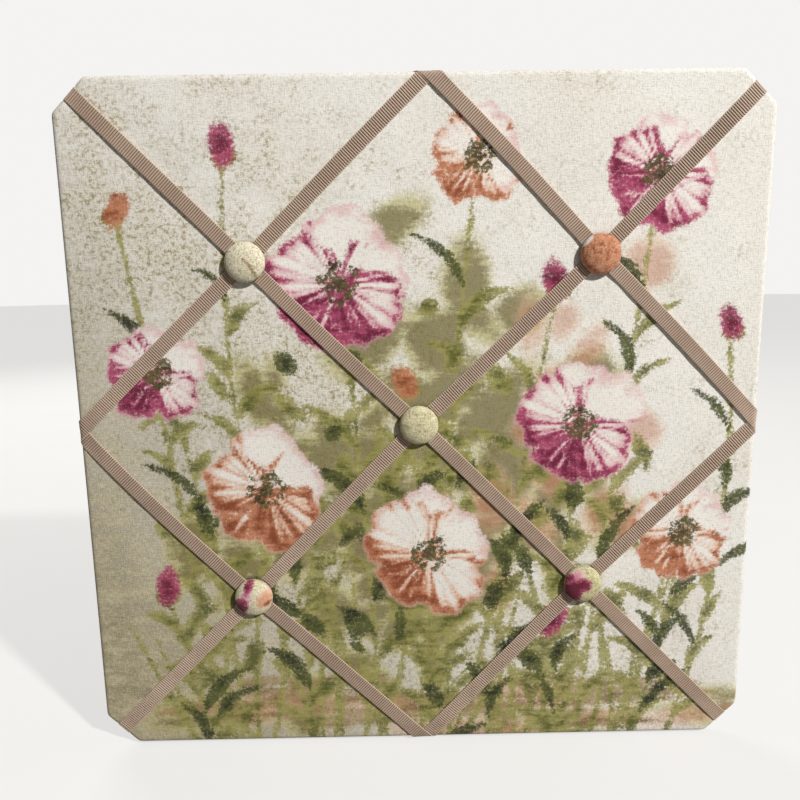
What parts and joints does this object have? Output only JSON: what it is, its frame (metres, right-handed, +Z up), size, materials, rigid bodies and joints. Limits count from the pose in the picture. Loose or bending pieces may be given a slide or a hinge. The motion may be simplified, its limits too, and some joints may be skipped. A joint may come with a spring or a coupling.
{
  "type": "french memo board",
  "caption": "Square padded memo board under printed cloth, with cut corners, crossed grosgrain ribbons held down by covered buttons, and magnetic strips behind.",
  "frame": {"origin": "centre of the middle magnetic strip's flat face, behind the centre of the board", "axes": "+Z up, +X to the right as seen from the front, +Y back into the door, so the front faces -Y"},
  "size_m": [0.3072, 0.0166, 0.3072],
  "materials": {
    "cover_cloth": "matte",
    "padding": "matte",
    "hardboard": "matte",
    "backing": "matte",
    "magnetic_strip": "matte",
    "ribbon": "matte",
    "button_metal": "satin",
    "shank_wire": "satin",
    "thread": "matte",
    "button_cloth_upper_left": "matte",
    "button_cloth_upper_right": "matte",
    "button_cloth_centre": "matte",
    "button_cloth_lower_left": "matte",
    "button_cloth_lower_right": "matte"
  },
  "bodies": {
    "root": {"fabric_cover": "cover_cloth", "padding": "padding", "core_board": "hardboard", "backing_sheet": "backing", "magnetic_strip_upper": "magnetic_strip", "magnetic_strip_middle": "magnetic_strip", "magnetic_strip_lower": "magnetic_strip", "ribbon_long_falling": "ribbon", "ribbon_long_rising": "ribbon", "ribbon_upper_left": "ribbon", "ribbon_upper_right": "ribbon", "ribbon_lower_left": "ribbon", "ribbon_lower_right": "ribbon", "button_cap_upper_left": "button_cloth_upper_left", "button_dome_upper_left": "button_metal", "button_plate_upper_left": "button_metal", "button_shank_upper_left": "shank_wire", "button_tie_upper_left": "thread", "button_cap_upper_right": "button_cloth_upper_right", "button_dome_upper_right": "button_metal", "button_plate_upper_right": "button_metal", "button_shank_upper_right": "shank_wire", "button_tie_upper_right": "thread", "button_cap_centre": "button_cloth_centre", "button_dome_centre": "button_metal", "button_plate_centre": "button_metal", "button_shank_centre": "shank_wire", "button_tie_centre": "thread", "button_cap_lower_left": "button_cloth_lower_left", "button_dome_lower_left": "button_metal", "button_plate_lower_left": "button_metal", "button_shank_lower_left": "shank_wire", "button_tie_lower_left": "thread", "button_cap_lower_right": "button_cloth_lower_right", "button_dome_lower_right": "button_metal", "button_plate_lower_right": "button_metal", "button_shank_lower_right": "shank_wire", "button_tie_lower_right": "thread"}
  },
  "joints": []
}
